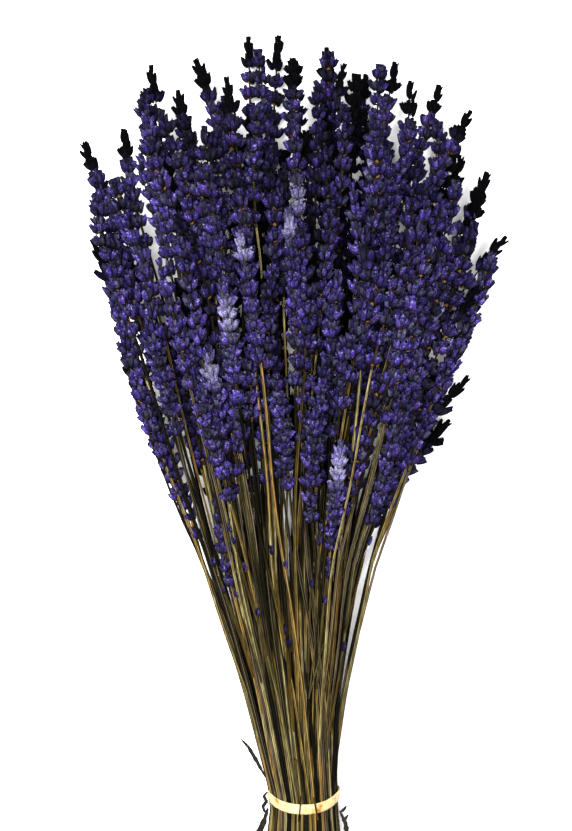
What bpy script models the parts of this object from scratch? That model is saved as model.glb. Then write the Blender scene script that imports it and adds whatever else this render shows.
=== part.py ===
"""A dried lavender bunch, lying on a table: flower spikes on square dry stems, held by a rubber band.

Metres, +Z up. The origin is on the table, under the middle of the band, and +Y runs along the stems to the flowers.
"""

import math
import random

import bmesh
import bpy
import numpy as np
from mathutils import Vector

MM = 0.001

# The bundle of stems
STEM_RADIUS = 1.0 * MM  # from the middle of a square stem to its corner
STEM_RINGS = ((48, 16.8 * MM), (26, 12.4 * MM), (13, 6.9 * MM))  # stems in each ring under the band, and its radius
BUNDLE_MIDDLE = 19.0 * MM  # height of the bundle's middle over the table, under the band
BENDS = np.array((-55, 0, 60, 130, 205, 290, 350, 420)) * MM  # stalks are straight from one of these to the next
PINCH = 0.22  # how much wider the bundle is where the band doesn't squeeze it
PINCH_LENGTH = 14 * MM
BUTT_FLARE = 0.10
BUTT_UNEVENNESS = 0.06  # how far the cut ends differ, as a share of their distance from the band
TABLE_GAP = 0.4 * MM  # under the lowest stems
SWAY = 2.6 * MM
LEFTWARDS = np.array((0, 0, 3.3, 6.5, 5, 0, 0, 0)) * MM  # how far the fan's foot leans to the left, at each bend
PLUG_LENGTH = 8 * MM  # of the solid that joins the stems inside the band

# The band
BAND_INNER = 18.4 * MM
BAND_THICKNESS = 1.0 * MM
BAND_WIDTH = 5.3 * MM
BAND_ROUNDING = 0.3 * MM
BAND_SIDES = 32

# The head of flowers
WIDEST_AT = 300 * MM  # from the band to where the head is widest
FURTHEST_TIP = 402 * MM
HALF_WIDTH = 112 * MM
HEAD_HEIGHT = 94 * MM
MIDDLE_LEVEL = 0.48  # the height of the head's widest part, from 0 on the table to 1 at the top
OPENING_POWER = 1.45  # stems leave the band nearly parallel, and open out further on
SIDE_SLOPE = math.tan(math.radians(20))  # the fan's edge, seen from above

# A flower spike
SPIKE_RADIUS = 5.2 * MM
SPIKE_LENGTH = (56 * MM, 72 * MM)
WHORL_PITCH = 14.0 * MM
RACHIS_RADIUS = 1.3 * MM
CORNERS = 8  # round a whorl: the tip of a bud and the hollow beside it, by turns
BUD_REACH = 1.04  # from a whorl's foot to its bud tips, in whorl pitches
HOLLOW_REACH = 0.5
HOLLOW_DEPTH = 0.52  # the hollow's distance from the rachis, as a share of the bud tip's
WHORL_TAPER = ((0, 0.25, 0.6, 1), (0.86, 1.0, 1.0, 0.62))  # radius against height, from the lowest whorl to the top
LOWEST_SPIKE = 4.6 * MM  # a spike's middle over the table: the buds under it are pressed flat
FIT_GAP = 0.3 * MM  # between a stem and its spike

# How the stalks make room for each other
CLEARANCE = 0.6 * MM
STATION_STEP = 8 * MM
ROUNDS = 300
LONGEST_STEP = 3 * MM
SPIKE_MARGIN = 5 * MM  # past both ends of a spike
UNDERSIDE = 24 * MM  # spikes aimed lower than this sink until they lie on the table
SINKING = 0.1 * MM  # in each round
TWIN_DISTANCE = 0.60  # between two spikes grown into each other, as a share of both radii
TWIN_SHIFT = -5 * MM  # how far the middle of the twin spikes is to the left of the band
TWIN_STEP = (16 * MM, 24 * MM)  # how far a twin's tip stays behind
TWIN_LEAN = (-7 * MM, 9 * MM)  # how far their tips lean out
TWIN_SPRIGS = 28
TOP_SPRIGS = 18  # of them, over the top of the head

# Single spikes round the fan's edge and over its stems: the tip's place across and along in millimetres, how far
# the tip leans out in millimetres, and its height in the head from 0 to 1
SINGLE_TIPS = (
    (-114, 346, 0, 0.45), (-89, 352, -9, 0.62), (-85, 385, -6, 0.40), (-67, 371, -3, 0.75), (-58, 389, 6, 0.30),
    (-28, 378, 3, 0.66), (-38, 402, 0, 0.22), (-23, 403, 0, 0.52), (-3, 387, 0, 0.80), (24, 397, 0, 0.34),
    (22, 386, 2, 0.60), (42, 383, 2, 0.15), (47, 387, 6, 0.48), (54, 376, -3, 0.78), (67, 375, 2, 0.30),
    (80, 361, 13, 0.55), (76, 340, -5, 0.18), (101, 331, 2, 0.42), (109, 298, 17, 0.50), (91, 273, 7, 0.66),
    (83, 227, 16, 0.62), (74, 203, 14, 0.40), (-113, 297, 3, 0.50), (-86, 234, 2, 0.38), (18, 198, 0, 1.06),
    (-43, 177, -3, 0.98),
)

# Dry leaves left on the stems near the band, in millimetres: points along a blade's middle, then its half width
LEAVES = (
    (((-19.2, -5, 21), (-21.3, -12, 21), (-24, -19, 19), (-26, -27, 16), (-25, -36, 13)), 1.9),
    (((-20.5, 12, 22), (-25.5, 22, 24), (-29.5, 29, 24), (-34, 33, 21)), 1.1),
    (((18.9, -6, 22), (22, -12, 24), (23, -19, 25), (26, -26, 23)), 1.3),
)
LEAF_THICKNESS = 0.7 * MM


def clear_scene():
    for obj in list(bpy.data.objects):
        bpy.data.objects.remove(obj)


def new_collection(name):
    made = bpy.data.collections.new(name)
    bpy.context.scene.collection.children.link(made)
    return made


def material(name, colour, roughness):
    made = bpy.data.materials.new(name)
    made.use_nodes = True
    shader = made.node_tree.nodes["Principled BSDF"]
    shader.inputs["Base Color"].default_value = (*colour, 1)
    shader.inputs["Roughness"].default_value = roughness
    return made


# Where each stalk runs


def opening(along):
    """How far the stems have opened out: 0 at the band, 1 where the head is widest."""
    return np.power(np.clip(along, 0, None) / WIDEST_AT, OPENING_POWER)


def pinch(along):
    """The bundle's width over its width under the band."""
    flare = BUTT_FLARE * np.clip(along / BENDS[0], 0, None)
    return 1 + PINCH * (1 - np.exp(-np.abs(along) / PINCH_LENGTH)) + flare


def head_section(along):
    """Half width and height of the head, for a tip that reaches this far along."""
    if along > WIDEST_AT:
        share = math.sqrt(max(0.03, 1 - ((along - WIDEST_AT) / (FURTHEST_TIP + 8 * MM - WIDEST_AT)) ** 2))
        return HALF_WIDTH * share, HEAD_HEIGHT * share
    return min(HALF_WIDTH, SIDE_SLOPE * along), HEAD_HEIGHT * along / WIDEST_AT


def level_height(x, along, level):
    """The height of a tip at this level of the head, which is thinner towards its sides."""
    half, height = head_section(along)
    room = math.sqrt(max(0.1, 1 - min(1, abs(x) / half) ** 2))
    return LOWEST_SPIKE + height * (MIDDLE_LEVEL + (level - MIDDLE_LEVEL) * room)


class Bunch:
    """The course of every stalk, as arrays with one entry for each stalk. The two stalks of a twin share a sprig."""

    def __init__(self, stalks, draw):
        table = np.array(stalks, float)
        self.sprig = table[:, 0].astype(int)
        self.tip_x, self.tip_y, self.tip_z, lean, self.length = table[:, 1:6].T
        self.lean = lean * np.sign(self.tip_x)
        self.base_y = self.tip_y - self.length
        self.count = len(table)
        self.radius = np.array([SPIKE_RADIUS * draw.uniform(0.92, 1.05) for _ in table])
        self.turn = np.array([draw.uniform(0, math.tau) for _ in table])
        self.place_under_band()
        over = self.band_z - BUNDLE_MIDDLE
        self.aim_x = (self.tip_x - self.lean - self.band_x * pinch(self.tip_y)) / opening(self.tip_y)
        self.aim_z = (self.tip_z - BUNDLE_MIDDLE - over * pinch(self.tip_y)) / opening(self.tip_y)
        self.untangle()

    def place_under_band(self):
        """Stalks from the outside of the head go to the bundle's outer ring, in the same order round it."""
        sections = np.array([head_section(along) for along in self.tip_y])
        across = self.tip_x / sections[:, 0]
        up = 2 * (self.tip_z - LOWEST_SPIKE) / sections[:, 1] - 1
        inwards = np.argsort(-np.hypot(across, up), kind="stable")
        angle = np.arctan2(up, across)
        self.band_x, self.band_z = np.zeros(self.count), np.zeros(self.count)
        first = 0
        for size, radius in STEM_RINGS:
            ring = inwards[first : first + size]
            first += size
            ring = ring[np.argsort(angle[ring], kind="stable")]
            places = math.tau * (np.arange(len(ring)) + 0.5) / len(ring) - math.pi
            self.band_x[ring] = radius * np.cos(places)
            self.band_z[ring] = BUNDLE_MIDDLE + radius * np.sin(places)

    def courses(self, along):
        """The x and z of each stalk at each distance along."""
        sway = SWAY * opening(BENDS) * np.sin(4 * BENDS / WIDEST_AT + self.turn[:, None])
        x = self.band_x[:, None] * pinch(BENDS) + self.aim_x[:, None] * opening(BENDS) + sway - LEFTWARDS
        over = (self.band_z - BUNDLE_MIDDLE)[:, None] * pinch(BENDS) + self.aim_z[:, None] * opening(BENDS)
        z = np.maximum(BUNDLE_MIDDLE + over, STEM_RADIUS + TABLE_GAP)
        between = np.array([np.interp(along, BENDS, only) for only in np.eye(len(BENDS))])
        share = np.clip((along - self.base_y[:, None]) / self.length[:, None], 0, None)
        return x @ between + self.lean[:, None] * share**2, z @ between

    def untangle(self):
        """Shifts the aims until no spike meets another sprig's stalk. The two spikes of a twin draw together."""
        along = np.arange(30 * MM, FURTHEST_TIP + STATION_STEP, STATION_STEP)
        grow = opening(along)
        bare = along < self.base_y[:, None] - SPIKE_MARGIN
        ended = along > self.tip_y[:, None] + SPIKE_MARGIN
        same = np.eye(self.count, dtype=bool)
        twins = (self.sprig[:, None] == self.sprig[None, :]) & ~same
        idle = ended[:, None, :] | ended[None, :, :] | (bare[:, None, :] & bare[None, :, :]) | same[:, :, None]
        idle |= twins[:, :, None] & (bare[:, None, :] | bare[None, :, :])
        sinking = np.where(self.tip_z < UNDERSIDE, SINKING, 0)
        stalk, other = np.indices((self.count, self.count))
        for _ in range(ROUNDS):
            x, z = self.courses(along)
            slant = np.sqrt(1 + np.gradient(x, along, axis=1) ** 2)
            width = np.where(bare, STEM_RADIUS, self.radius[:, None] * slant)
            both = width[:, None, :] + width[None, :, :]
            wanted = np.where(twins[:, :, None], both * TWIN_DISTANCE, both + CLEARANCE)
            apart_x = x[:, None, :] - x[None, :, :]
            apart_z = z[:, None, :] - z[None, :, :]
            apart = np.hypot(apart_x, apart_z) + 1e-9
            missing = np.where(idle, -1, wanted - apart)
            at = (stalk, other, missing.argmax(axis=2))
            push = np.where(missing[at] > 0, missing[at], 0)
            push = np.where(twins & (missing[at] > -0.5), 0.6 * missing[at], push)
            push *= 0.25 / np.maximum(grow[at[2]], 0.25) / apart[at]
            self.aim_x += np.clip((push * apart_x[at]).sum(axis=1), -LONGEST_STEP, LONGEST_STEP)
            self.aim_z += np.clip((push * apart_z[at]).sum(axis=1), -LONGEST_STEP, LONGEST_STEP) - sinking
            self.lift_off_table(along, bare | ended)

    def lift_off_table(self, along, outside):
        _, z = self.courses(along)
        low = np.where(outside, -1, LOWEST_SPIKE - z)
        self.aim_z += np.clip((low / opening(along)).max(axis=1), 0, None)

    def course(self, stalk, start, end):
        """The stalk's points from start to end along the bunch, and how far along the stalk each one is."""
        along = np.union1d(np.linspace(start, end, 60), BENDS[(BENDS > start) & (BENDS < end)])
        x, z = self.courses(along)
        points = np.column_stack((x[stalk], along, z[stalk]))
        steps = np.linalg.norm(np.diff(points, axis=0), axis=1)
        return points, np.concatenate(([0], np.cumsum(steps)))


def spread(step, ratio):
    """The step's number in a sequence between 0 and 1 that fills the range evenly."""
    return (0.5 + step * ratio) % 1


def lay_out_bunch():
    """Every stalk's place: single spikes round the edge of the fan, and twin spikes inside it."""
    draw = random.Random(7)
    stalks = []
    for across, along, lean, level in SINGLE_TIPS:
        x, y = across * MM, along * MM
        stalks.append((len(stalks), x, y, level_height(x, y, level), lean * MM, draw.uniform(*SPIKE_LENGTH)))
    for number in range(TWIN_SPRIGS):
        sprig = len(SINGLE_TIPS) + number
        on_top = number < TOP_SPRIGS
        y = 238 * MM + 148 * MM * spread(number, 0.7549)
        x = head_section(y)[0] * (2 * spread(number, 0.5698) - 1) * (0.84 if on_top else 0.70)
        x += TWIN_SHIFT
        z = level_height(x, y, 1 if on_top else 0.5 * (number % 2))
        lean = draw.uniform(*TWIN_LEAN)
        stalks.append((sprig, x, y, z, lean, draw.uniform(*SPIKE_LENGTH)))
        side = draw.uniform(0, math.tau)
        beside = (x + SPIKE_RADIUS * math.cos(side), z + SPIKE_RADIUS * math.sin(side))
        behind = y - draw.uniform(*TWIN_STEP)
        stalks.append((sprig, beside[0], behind, beside[1], lean, draw.uniform(*SPIKE_LENGTH)))
    return Bunch(stalks, draw)


# Solids


def solid_from(shape, name):
    bmesh.ops.recalc_face_normals(shape, faces=shape.faces)
    mesh = bpy.data.meshes.new(name)
    shape.to_mesh(mesh)
    shape.free()
    return bpy.data.objects.new(name, mesh)


def fill_holes(shape):
    bmesh.ops.holes_fill(shape, edges=[edge for edge in shape.edges if edge.is_boundary], sides=0)
    bmesh.ops.triangulate(shape, faces=shape.faces)


def skin(name, rings):
    """A closed solid through rings of points, all of one count: a tube extruded ring by ring, and then shaped."""
    corners = len(rings[0])
    shape = bmesh.new()
    bmesh.ops.create_circle(shape, segments=corners, radius=1)
    edges = list(shape.edges)
    for _ in rings[1:]:
        made = bmesh.ops.extrude_edge_only(shape, edges=edges)["geom"]
        fresh = {part for part in made if isinstance(part, bmesh.types.BMVert)}
        bmesh.ops.translate(shape, verts=list(fresh), vec=(0, 0, 1))
        edges = [edge for edge in shape.edges if fresh.issuperset(edge.verts)]
    for vert in shape.verts:
        corner = round(math.atan2(vert.co.y, vert.co.x) / (math.tau / corners)) % corners
        vert.co = rings[round(vert.co.z)][corner]
    bmesh.ops.remove_doubles(shape, verts=shape.verts, dist=0.01 * MM)
    fill_holes(shape)
    return solid_from(shape, name)


def off_stalk(course, distance, angle=0, radius=0):
    """The point this far along a stalk and this far out from its middle. It is straight down at -90 degrees."""
    points, lengths = course
    step = 0.5 * MM
    here, ahead, behind = (
        Vector([np.interp(at, lengths, points[:, axis]) for axis in range(3)])
        for at in (distance, min(distance + step, lengths[-1]), max(distance - step, 0))
    )
    forward = (ahead - behind).normalized()
    side = forward.cross(Vector((0, 0, 1))).normalized()
    return here + (side * math.cos(angle) + side.cross(forward) * math.sin(angle)) * float(radius)


def waist(course, distance, angles, lobe):
    """The rachis under a whorl, with each pair of corners brought together below its bud."""
    paired = [angle if corner % 2 == lobe else angles[corner - 1] for corner, angle in enumerate(angles)]
    return [off_stalk(course, distance, angle, RACHIS_RADIUS) for angle in paired]


def crown(course, foot, pitch, angles, lobe, radius):
    """A whorl's open end: bud tips at every second corner, and the hollows between them."""
    points = []
    for corner, angle in enumerate(angles):
        reach, out = (BUD_REACH, 1) if corner % 2 == lobe else (HOLLOW_REACH, HOLLOW_DEPTH)
        points.append(off_stalk(course, foot + reach * pitch, angle, radius * out))
    return points


def spike(name, bunch, stalk, foot):
    """A flower spike: crowns of four buds up its rachis, each with its buds over the hollows of the last."""
    course = bunch.course(stalk, foot, bunch.tip_y[stalk])
    length = course[1][-1]
    lowest = np.interp(bunch.base_y[stalk], course[0][:, 1], course[1])
    whorls = round((length - lowest) / WHORL_PITCH)
    pitch = (length - lowest) / (whorls + BUD_REACH - 1)
    turn = math.radians(-90 if stalk % 2 else -68)
    angles = [math.tau * corner / CORNERS + turn for corner in range(CORNERS)]
    rings = [waist(course, 0, angles, 0)] if lowest > WHORL_PITCH / 2 else []
    for whorl in range(whorls):
        at = lowest + whorl * pitch
        radius = bunch.radius[stalk] * np.interp(whorl / (whorls - 1), *WHORL_TAPER)
        rings.append(waist(course, at, angles, whorl % 2))
        rings.append(crown(course, at, pitch, angles, whorl % 2, radius))
    tip = off_stalk(course, length)
    rings.append([tip + (tip - off_stalk(course, length - 1.2 * MM))] * CORNERS)
    return skin(name, rings)


def caught_bud(bunch, stalks):
    """A bud that has grown from one twin's rachis against the other's."""
    start = max(bunch.base_y[stalk] for stalk in stalks) + 0.4 * WHORL_PITCH
    along = np.arange(start, min(bunch.tip_y[stalk] for stalk in stalks) - WHORL_PITCH, 2 * MM)
    x, z = (found[stalks] for found in bunch.courses(along))
    nearest = np.hypot(x[0] - x[1], z[0] - z[1]).argmin()
    ends = [Vector((x[side, nearest], along[nearest], z[side, nearest])) for side in range(2)]
    forward = (ends[1] - ends[0]).normalized()
    side = forward.cross(Vector((0, 1, 0))).normalized() * 0.8 * RACHIS_RADIUS
    other = side.cross(forward)
    return skin("caught bud", [[end + side, end + other, end - side, end - other] for end in ends])


def stem(bunch, stalk, foot):
    """A square stem, from its cut butt to just under its spike."""
    butt = BENDS[0] * (1 - BUTT_UNEVENNESS * math.sin(9 * stalk))
    end = foot - FIT_GAP
    bends = [butt, *(along for along in BENDS[1:] if along < end - 12 * MM), end]
    points, lengths = bunch.course(stalk, butt, end)
    angles = [math.radians(45 + 90 * corner) for corner in range(4)]
    distances = np.interp(bends, points[:, 1], lengths)
    rings = [[off_stalk((points, lengths), at, angle, STEM_RADIUS) for angle in angles] for at in distances]
    return skin("stem", rings)


def flatten_on_table(obj):
    """Presses flat what would be under the table's surface."""
    shape = bmesh.new()
    shape.from_mesh(obj.data)
    everything = [*shape.verts, *shape.edges, *shape.faces]
    bmesh.ops.bisect_plane(shape, geom=everything, plane_co=(0, 0, 0), plane_no=(0, 0, -1), clear_outer=True)
    fill_holes(shape)
    shape.to_mesh(obj.data)
    shape.free()


def unite(obj, others):
    """Joins the others to obj, then removes them."""
    pieces = new_collection("pieces")
    for other in others:
        pieces.objects.link(other)
    union = obj.modifiers.new("Union", "BOOLEAN")
    union.operation = "UNION"
    union.operand_type = "COLLECTION"
    union.collection = pieces
    union.solver = "MANIFOLD"
    graph = bpy.context.evaluated_depsgraph_get()
    united = bpy.data.meshes.new_from_object(obj.evaluated_get(graph))
    obj.modifiers.clear()
    obj.data = united
    for other in others:
        bpy.data.objects.remove(other)
    bpy.data.collections.remove(pieces)


def finish(obj, plants, look):
    plants.objects.link(obj)
    obj.data.materials.append(look)


def build_spikes(bunch, plants, look):
    """A solid for each single spike, and one for each pair of twins."""
    for sprig in range(len(SINGLE_TIPS) + TWIN_SPRIGS):
        stalks = list(np.flatnonzero(bunch.sprig == sprig))
        foot = bunch.base_y[stalks].min()
        single = len(stalks) == 1
        name = f"spike_{sprig + 1:02d}" if single else f"twin_spikes_{sprig + 1 - len(SINGLE_TIPS):02d}"
        first, *others = (spike(name, bunch, stalk, foot) for stalk in stalks)
        finish(first, plants, look)
        if not single:
            unite(first, [*others, caught_bud(bunch, stalks)])
        if min(vert.co.z for vert in first.data.vertices) < 0:
            flatten_on_table(first)


def build_stems(bunch, plants, look):
    """All the stems as one solid, joined inside the band by a plug that their outer ring hides."""
    radius = STEM_RINGS[0][1] - 0.2 * MM
    angles = [math.tau * side / 40 for side in range(40)]
    rings = [
        [Vector((radius * math.cos(angle), along, BUNDLE_MIDDLE + radius * math.sin(angle))) for angle in angles]
        for along in (-PLUG_LENGTH / 2, PLUG_LENGTH / 2)
    ]
    stems = skin("stems", rings)
    finish(stems, plants, look)
    feet = [bunch.base_y[bunch.sprig == sprig].min() for sprig in bunch.sprig]
    unite(stems, [stem(bunch, stalk, foot) for stalk, foot in enumerate(feet)])


def build_band(plants, look):
    """The rubber band, flat where it rests on the table."""
    inner, outer = BAND_INNER, BAND_INNER + BAND_THICKNESS
    half, soft = BAND_WIDTH / 2, BAND_ROUNDING
    profile = (
        (inner, -half + soft), (inner + soft, -half), (outer - soft, -half), (outer, -half + soft),
        (outer, half - soft), (outer - soft, half), (inner + soft, half), (inner, half - soft),
    )
    shape = bmesh.new()
    corners = [shape.verts.new((out, along, BUNDLE_MIDDLE)) for out, along in profile]
    edges = [shape.edges.new((corner, corners[index - 1])) for index, corner in enumerate(corners)]
    bmesh.ops.spin(
        shape, geom=[*corners, *edges], cent=(0, 0, BUNDLE_MIDDLE), axis=(0, 1, 0), angle=math.tau,
        steps=BAND_SIDES, use_merge=True,
    )
    bmesh.ops.remove_doubles(shape, verts=shape.verts, dist=0.01 * MM)
    band = solid_from(shape, "band")
    finish(band, plants, look)
    flatten_on_table(band)


def build_leaves(plants, look):
    """Narrow dry leaves, each a thin curled blade that swells between its ends."""
    for number, (places, half_width) in enumerate(LEAVES, 1):
        middle = [Vector(place) * MM for place in places]
        rings = []
        for index, point in enumerate(middle):
            forward = (middle[min(index + 1, len(middle) - 1)] - middle[max(index - 1, 0)]).normalized()
            side = forward.cross(Vector((0, 0, 1))).normalized()
            swell = max(0.35, math.sin(math.pi * (index + 0.45) / (len(middle) - 0.1)))
            wide = side * half_width * MM * swell
            thick = side.cross(forward) * LEAF_THICKNESS / 2
            rings.append([point + wide, point + thick, point - wide, point - thick])
        finish(skin(f"leaf_{number}", rings), plants, look)


def build_bunch():
    clear_scene()
    plants = new_collection("dried lavender bunch")
    bunch = lay_out_bunch()
    build_spikes(bunch, plants, material("dried violet buds", (0.07, 0.045, 0.16), 0.9))
    build_stems(bunch, plants, material("dry stem", (0.26, 0.19, 0.09), 0.8))
    build_leaves(plants, material("dry leaf", (0.03, 0.025, 0.015), 0.85))
    build_band(plants, material("rubber", (0.75, 0.62, 0.35), 0.55))


build_bunch()
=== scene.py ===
"""A dried lavender bunch held by a rubber band, lying on a pale table and seen from above. Metres, +Z up.

The origin is on the table, under the middle of the band, and +Y runs along the stems to the flowers.
"""

import math
import random

import bpy
import numpy as np
from mathutils import Matrix, Vector


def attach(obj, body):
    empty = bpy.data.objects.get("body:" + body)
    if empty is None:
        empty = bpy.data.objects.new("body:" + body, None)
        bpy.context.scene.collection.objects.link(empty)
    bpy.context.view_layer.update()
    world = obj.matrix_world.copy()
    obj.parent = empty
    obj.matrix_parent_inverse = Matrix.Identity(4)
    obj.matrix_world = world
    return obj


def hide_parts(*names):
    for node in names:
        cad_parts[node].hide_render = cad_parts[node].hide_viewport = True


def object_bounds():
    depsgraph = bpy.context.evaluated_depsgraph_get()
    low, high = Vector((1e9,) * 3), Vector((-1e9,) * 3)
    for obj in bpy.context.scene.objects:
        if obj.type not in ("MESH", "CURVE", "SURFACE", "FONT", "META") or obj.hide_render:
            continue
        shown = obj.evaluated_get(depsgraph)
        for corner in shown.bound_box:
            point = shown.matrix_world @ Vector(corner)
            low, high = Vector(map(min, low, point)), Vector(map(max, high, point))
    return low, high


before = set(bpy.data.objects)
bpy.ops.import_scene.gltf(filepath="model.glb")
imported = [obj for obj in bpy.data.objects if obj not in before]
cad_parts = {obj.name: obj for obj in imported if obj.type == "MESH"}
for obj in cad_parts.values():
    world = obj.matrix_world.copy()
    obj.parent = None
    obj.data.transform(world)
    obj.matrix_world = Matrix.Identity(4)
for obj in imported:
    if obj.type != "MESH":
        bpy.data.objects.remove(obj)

MM = 0.001
cad_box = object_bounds()


# Where each stalk runs, as in the part

STEM_RADIUS = 1.0 * MM
STEM_RINGS = ((48, 16.8 * MM), (26, 12.4 * MM), (13, 6.9 * MM))  # stems in each ring under the band, and its radius
BUNDLE_MIDDLE = 19.0 * MM
BENDS = np.array((-55, 0, 60, 130, 205, 290, 350, 420)) * MM
PINCH = 0.22
PINCH_LENGTH = 14 * MM
BUTT_FLARE = 0.10
BUTT_UNEVENNESS = 0.06
TABLE_GAP = 0.4 * MM
SWAY = 2.6 * MM
LEFTWARDS = np.array((0, 0, 3.3, 6.5, 5, 0, 0, 0)) * MM
WIDEST_AT = 300 * MM
FURTHEST_TIP = 402 * MM
HEAD_END = FURTHEST_TIP + 8 * MM
HALF_WIDTH = 112 * MM
HEAD_HEIGHT = 94 * MM
LEAST_SECTION = 0.03
MIDDLE_LEVEL = 0.48
LEAST_ROOM = 0.1
OPENING_POWER = 1.45
SIDE_SLOPE = math.tan(math.radians(20))
SPIKE_RADIUS = 5.2 * MM
SPIKE_LENGTH = (56 * MM, 72 * MM)
THICKNESS = (0.92, 1.05)  # of a spike, against its radius
LOWEST_SPIKE = 4.6 * MM
CLEARANCE = 0.6 * MM
STATION_STEP = 8 * MM
ROUNDS = 300
IDLE = -1  # marks stalks that don't meet, in place of how far they are too close
PUSH = 0.25
LEAST_OPENING = 0.25
TWIN_PULL = 0.6
LONGEST_STEP = 3 * MM
SPIKE_MARGIN = 5 * MM
UNDERSIDE = 24 * MM
SINKING = 0.1 * MM
TWIN_DISTANCE = 0.60
TWIN_SHIFT = -5 * MM
TWIN_STEP = (16 * MM, 24 * MM)
TWIN_LEAN = (-7 * MM, 9 * MM)
TWIN_SPRIGS = 28
TOP_SPRIGS = 18
TWIN_TIPS = (238 * MM, 148 * MM)  # where along the bunch the first would end, and over what length the others do
TWIN_WIDTHS = (0.70, 0.84)  # the share of the head's width that they fill, below and on top
ALONG_RATIO, ACROSS_RATIO = 0.7549, 0.5698  # steps that together fill a square evenly
SINGLE_TIPS = (
    (-114, 346, 0, 0.45), (-89, 352, -9, 0.62), (-85, 385, -6, 0.40), (-67, 371, -3, 0.75), (-58, 389, 6, 0.30),
    (-28, 378, 3, 0.66), (-38, 402, 0, 0.22), (-23, 403, 0, 0.52), (-3, 387, 0, 0.80), (24, 397, 0, 0.34),
    (22, 386, 2, 0.60), (42, 383, 2, 0.15), (47, 387, 6, 0.48), (54, 376, -3, 0.78), (67, 375, 2, 0.30),
    (80, 361, 13, 0.55), (76, 340, -5, 0.18), (101, 331, 2, 0.42), (109, 298, 17, 0.50), (91, 273, 7, 0.66),
    (83, 227, 16, 0.62), (74, 203, 14, 0.40), (-113, 297, 3, 0.50), (-86, 234, 2, 0.38), (18, 198, 0, 1.06),
    (-43, 177, -3, 0.98),
)
EDGE_SPIKES = 24  # the first of them stand against the light round the edge, with their tips painted nearly black as shade

# The stalks between those of the part
INNER_STALKS = 92
FIRST_INNER = 1000  # their sprigs are numbered from here
INNER_ROUNDS = 50
INNER_RADIUS = 14.4 * MM  # how far out they pass under the band
INNER_SQUEEZE = 0.72  # how near their spikes come to the next, as a share of both radii
INNER_LEVELS = (1.0, 0.78, 0.52, 0.9, 0.28)
INNER_LEAN = (-8 * MM, 10 * MM)
INNER_TIPS = (226 * MM, 146 * MM, 0.95)  # where their tips start, over what length, and a power that draws them on
INNER_WIDTHS = (0.76, 0.88)  # the share of the head's width that they fill, before and past its shoulders
SHOULDERS = 270 * MM
NEARBY = 2.5 * MM  # what lies on the stalks rests on those within this distance
WHORL_REACH = 5.4 * MM  # from a spike's middle to the outside of most of its buds
WANDER = 0.9 * MM  # how far a stalk strays from its course, a little this way and that
WANDER_LENGTHS = (21 * MM, 17 * MM)  # across and up
PRESSED_FROM = 150 * MM  # how far along the fan's edges start to hold them in
FAN_EDGES = (  # along, left and right in millimetres
    (120, -50, 37), (156, -66, 48), (175, -75, 54), (193, -81, 67), (229, -93, 79), (265, -102, 94),
    (284, -104, 98), (302, -106, 95), (338, -112, 82), (373, -82, 70), (402, -30, 12),
)
EXACT_TIPS = (  # those round the fan's edge, which keep their aims: across, along and lean in mm, and the level
    (-108, 330, -6, 0.3), (-104, 300, -9, 0.2), (-101, 272, -8, 0.6), (-96, 257, -7, 0.75), (-91, 244, -6, 0.3),
    (-85, 234, -5, 0.2), (-79, 220, -3, 0.7), (-69, 202, -2, 0.6), (-79, 373, -5, 0.5), (96, 318, -5, 0.3),
    (98, 290, -5, 0.7), (96, 275, -5, 0.25), (91, 260, -4, 0.5), (84, 246, -3, 0.8), (78, 232, -2, 0.3),
    (70, 218, -2, 0.6), (-25, 393, 0, 0.6), (-8, 388, 2, 0.4), (9, 392, 0, 0.55), (29, 381, 2, 0.4),
    (41, 385, 0, 0.6),
)


def opening(along):
    """How far the stems have opened out: 0 at the band, 1 where the head is widest."""
    return np.power(np.clip(along, 0, None) / WIDEST_AT, OPENING_POWER)


def pinch(along):
    """The bundle's width over its width under the band."""
    flare = BUTT_FLARE * np.clip(along / BENDS[0], 0, None)
    return 1 + PINCH * (1 - np.exp(-np.abs(along) / PINCH_LENGTH)) + flare


def head_section(along):
    """Half width and height of the head, for a tip that reaches this far along."""
    if along > WIDEST_AT:
        share = math.sqrt(max(LEAST_SECTION, 1 - ((along - WIDEST_AT) / (HEAD_END - WIDEST_AT)) ** 2))
        return HALF_WIDTH * share, HEAD_HEIGHT * share
    return min(HALF_WIDTH, SIDE_SLOPE * along), HEAD_HEIGHT * along / WIDEST_AT


def level_height(x, along, level):
    """The height of a tip at this level of the head, which is thinner towards its sides."""
    half, height = head_section(along)
    room = math.sqrt(max(LEAST_ROOM, 1 - min(1, abs(x) / half) ** 2))
    return LOWEST_SPIKE + height * (MIDDLE_LEVEL + (level - MIDDLE_LEVEL) * room)


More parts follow.
